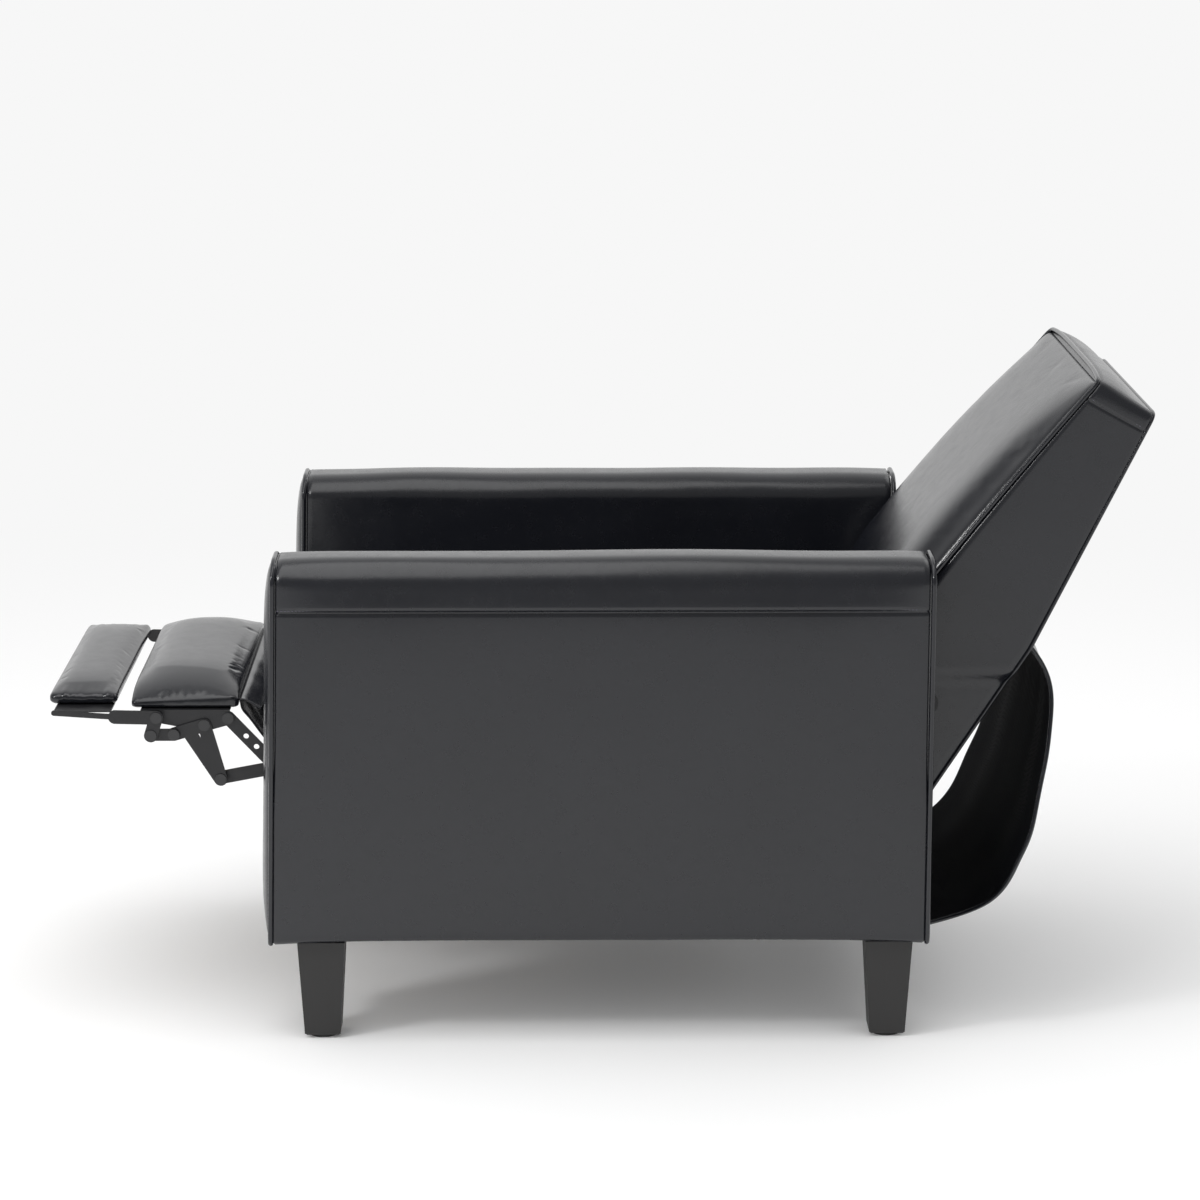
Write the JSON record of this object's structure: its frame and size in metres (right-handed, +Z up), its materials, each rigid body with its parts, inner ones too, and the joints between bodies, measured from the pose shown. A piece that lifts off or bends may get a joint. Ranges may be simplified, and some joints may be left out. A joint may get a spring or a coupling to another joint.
{
  "type": "recliner",
  "caption": "Push-back reclining armchair in black leather with box arms, tapered legs and a two-part folding footrest on a scissor linkage, shown reclined.",
  "frame": {"origin": "on the floor, under the middle of the chair's whole length in its reclined rest pose", "axes": "+X to the right of someone who stands in front and faces the chair, +Y from the footrest to the back, +Z up"},
  "size_m": [0.68, 1.4272, 0.8497],
  "materials": {
    "black_leather": "semi-gloss grained",
    "welt_leather": "semi-gloss",
    "dark_wood": "satin stained",
    "frame_timber": "raw",
    "black_steel": "matt black",
    "bolt_steel": "zinc plated",
    "glide": "matt",
    "webbing": "woven"
  },
  "bodies": {
    "base": {"arm_cover_left": "black_leather", "arm_cover_right": "black_leather", "arm_frame_left": "frame_timber", "arm_frame_right": "frame_timber", "arm_front_panel_left": "black_leather", "arm_front_panel_right": "black_leather", "arm_piping_left": "welt_leather", "arm_piping_right": "welt_leather", "base_plate_left": "black_steel", "base_plate_right": "black_steel", "base_rivets": "black_steel", "front_cross_rail": "frame_timber", "front_left_leg": "dark_wood", "front_right_leg": "dark_wood", "hanger_bolts": "bolt_steel", "leg_glides": "glide", "rear_cross_rail": "frame_timber", "rear_left_leg": "dark_wood", "rear_right_leg": "dark_wood", "rear_sling": "black_leather"},
    "back": {"back_bracket_left": "black_steel", "back_bracket_right": "black_steel", "back_cover": "black_leather", "back_cross_rails": "frame_timber", "back_cushion": "black_leather", "back_piping": "welt_leather", "back_rivets": "black_steel", "back_side_rails": "frame_timber", "back_webbing": "webbing"},
    "seat": {"front_flap": "black_leather", "seat_cross_rails": "frame_timber", "seat_cushion": "black_leather", "seat_plate_left": "black_steel", "seat_plate_right": "black_steel", "seat_rivets": "black_steel", "seat_side_rails": "frame_timber", "seat_webbing": "webbing"},
    "footrest": {"footrest_board": "frame_timber", "footrest_bracket_left": "black_steel", "footrest_bracket_right": "black_steel", "footrest_pad": "black_leather", "footrest_rivets": "black_steel"},
    "flipper": {"flipper_board": "frame_timber", "flipper_bracket_left": "black_steel", "flipper_bracket_right": "black_steel", "flipper_pad": "black_leather", "flipper_rivets": "black_steel"},
    "front_swing_links": {"front_swing_links": "black_steel"},
    "rear_swing_links": {"rear_swing_links": "black_steel", "cross_tube": "black_steel"},
    "long_links": {"long_links": "black_steel"},
    "cross_links": {"cross_links": "black_steel", "cross_link_rivets": "black_steel"},
    "three_hole_plates": {"three_hole_plates": "black_steel", "plate_rivets": "black_steel"},
    "short_links": {"short_links": "black_steel"},
    "rockers": {"rocker_links": "black_steel", "rocker_rivets": "black_steel"},
    "drive_rods": {"drive_rods": "black_steel"},
    "push_links": {"push_links": "black_steel"}
  },
  "joints": [
    {"name": "back_recline", "type": "hinge", "parent": "base", "child": "back", "pos_m": [0, 0.3624, 0.34], "axis": [1, 0, 0], "range_deg": [0, 24], "deforming": ["rear_sling"]},
    {"name": "front_swing", "type": "hinge", "parent": "base", "child": "front_swing_links", "pos_m": [0, -0.1916, 0.205], "axis": [1, 0, 0], "range_deg": [-16, 0]},
    {"name": "rear_swing", "type": "hinge", "parent": "base", "child": "rear_swing_links", "pos_m": [0, 0.0984, 0.205], "axis": [1, 0, 0], "range_deg": [-16, 0]},
    {"name": "seat_carry", "type": "hinge", "parent": "front_swing_links", "child": "seat", "pos_m": [0, -0.20691, 0.31393], "axis": [1, 0, 0], "range_deg": [0, 16]},
    {"name": "long_link_turn", "type": "hinge", "parent": "seat", "child": "long_links", "pos_m": [0, -0.3016, 0.39], "axis": [1, 0, 0], "range_deg": [0, 55], "deforming": ["front_flap"]},
    {"name": "scissor_turn", "type": "hinge", "parent": "long_links", "child": "cross_links", "pos_m": [0, -0.4176, 0.337], "axis": [1, 0, 0], "range_deg": [-19.39, 0]},
    {"name": "footrest_turn", "type": "hinge", "parent": "cross_links", "child": "footrest", "pos_m": [0, -0.4801, 0.4044], "axis": [1, 0, 0], "range_deg": [0, 54.39]},
    {"name": "plate_turn", "type": "hinge", "parent": "footrest", "child": "three_hole_plates", "pos_m": [0, -0.5108, 0.3959], "axis": [1, 0, 0], "range_deg": [-62.88, 0]},
    {"name": "short_link_turn", "type": "hinge", "parent": "three_hole_plates", "child": "short_links", "pos_m": [0, -0.5505, 0.3839], "axis": [1, 0, 0], "range_deg": [0, 133.58]},
    {"name": "flipper_fold", "type": "hinge", "parent": "footrest", "child": "flipper", "pos_m": [0, -0.5723, 0.4077], "axis": [1, 0, 0], "range_deg": [0, 84.89]},
    {"name": "rocker_turn", "type": "hinge", "parent": "seat", "child": "rockers", "pos_m": [0, -0.31608, 0.33864], "axis": [1, 0, 0], "range_deg": [0, 88.29]},
    {"name": "drive_rod_turn", "type": "hinge", "parent": "rockers", "child": "drive_rods", "pos_m": [0, -0.30077, 0.35441], "axis": [1, 0, 0], "range_deg": [-88.29, 0]},
    {"name": "push_link_turn", "type": "hinge", "parent": "back", "child": "push_links", "pos_m": [0, 0.34709, 0.26797], "axis": [1, 0, 0], "range_deg": [-24, 0]}
  ],
  "couplings": [
    {"joint": "front_swing", "follows": "back_recline", "ratio": -0.66667},
    {"joint": "rear_swing", "follows": "back_recline", "ratio": -0.66667},
    {"joint": "seat_carry", "follows": "back_recline", "ratio": 0.66667},
    {"joint": "long_link_turn", "follows": "back_recline", "ratio": 2.2917},
    {"joint": "scissor_turn", "follows": "back_recline", "ratio": -0.80796},
    {"joint": "footrest_turn", "follows": "back_recline", "ratio": 2.2663},
    {"joint": "plate_turn", "follows": "back_recline", "ratio": -2.62},
    {"joint": "short_link_turn", "follows": "back_recline", "ratio": 5.5658},
    {"joint": "flipper_fold", "follows": "back_recline", "ratio": 3.5371},
    {"joint": "rocker_turn", "follows": "back_recline", "ratio": 3.6788},
    {"joint": "drive_rod_turn", "follows": "back_recline", "ratio": -3.6788},
    {"joint": "push_link_turn", "follows": "back_recline", "ratio": -1}
  ]
}
